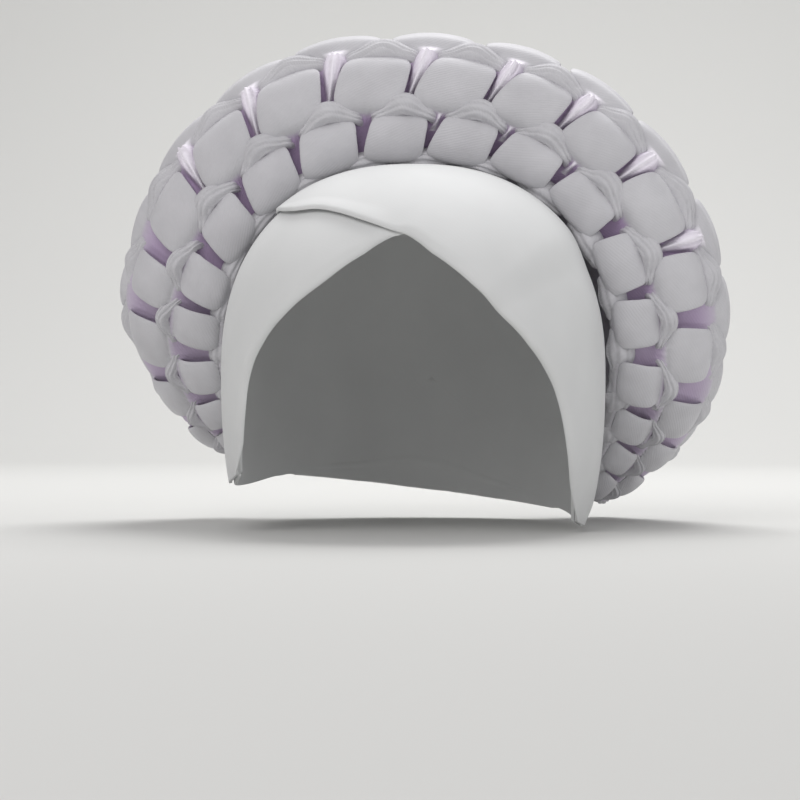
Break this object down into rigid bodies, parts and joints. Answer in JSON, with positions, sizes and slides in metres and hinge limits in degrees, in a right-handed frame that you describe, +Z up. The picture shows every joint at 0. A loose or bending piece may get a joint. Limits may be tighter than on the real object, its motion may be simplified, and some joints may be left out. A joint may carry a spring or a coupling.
{
  "type": "tied gele head tie",
  "caption": "Pre-formed gele head tie: smooth stretch cap with two crossed front wraps inside a wide basket-woven halo of puffed bands.",
  "frame": {"origin": "inside of the cap at the crown, where the top of the wearer's head touches it", "axes": "+X to the right of a viewer who faces the front, -Y towards the front (the wearer's face side), +Z up"},
  "size_m": [0.255, 0.1888, 0.2018],
  "materials": {
    "cap_scuba": "matte white scuba knit",
    "wrap_scuba": "matte white scuba knit, folded edges",
    "ring_band_cloth": "pleated white cloth",
    "woven_band_cloth": "fine ribbed white cloth",
    "cover_cloth": "matte white cloth"
  },
  "bodies": {
    "root": {"cap": "cap_scuba", "left_wrap": "wrap_scuba", "right_wrap": "wrap_scuba", "ring_band_inner": "ring_band_cloth", "ring_band_middle": "ring_band_cloth", "ring_band_rim_front": "ring_band_cloth", "ring_band_rim_back": "ring_band_cloth", "inner_row_band_01": "woven_band_cloth", "inner_row_band_02": "woven_band_cloth", "inner_row_band_03": "woven_band_cloth", "inner_row_band_04": "woven_band_cloth", "inner_row_band_05": "woven_band_cloth", "inner_row_band_06": "woven_band_cloth", "inner_row_band_07": "woven_band_cloth", "inner_row_band_08": "woven_band_cloth", "inner_row_band_09": "woven_band_cloth", "inner_row_band_10": "woven_band_cloth", "inner_row_band_11": "woven_band_cloth", "inner_row_band_12": "woven_band_cloth", "inner_row_band_13": "woven_band_cloth", "inner_row_band_14": "woven_band_cloth", "inner_row_band_15": "woven_band_cloth", "inner_row_band_16": "woven_band_cloth", "inner_row_band_17": "woven_band_cloth", "inner_row_band_18": "woven_band_cloth", "outer_row_band_01": "woven_band_cloth", "outer_row_band_02": "woven_band_cloth", "outer_row_band_03": "woven_band_cloth", "outer_row_band_04": "woven_band_cloth", "outer_row_band_05": "woven_band_cloth", "outer_row_band_06": "woven_band_cloth", "outer_row_band_07": "woven_band_cloth", "outer_row_band_08": "woven_band_cloth", "outer_row_band_09": "woven_band_cloth", "outer_row_band_10": "woven_band_cloth", "outer_row_band_11": "woven_band_cloth", "outer_row_band_12": "woven_band_cloth", "outer_row_band_13": "woven_band_cloth", "outer_row_band_14": "woven_band_cloth", "outer_row_band_15": "woven_band_cloth", "outer_row_band_16": "woven_band_cloth", "outer_row_band_17": "woven_band_cloth", "back_cover": "cover_cloth"}
  },
  "joints": []
}
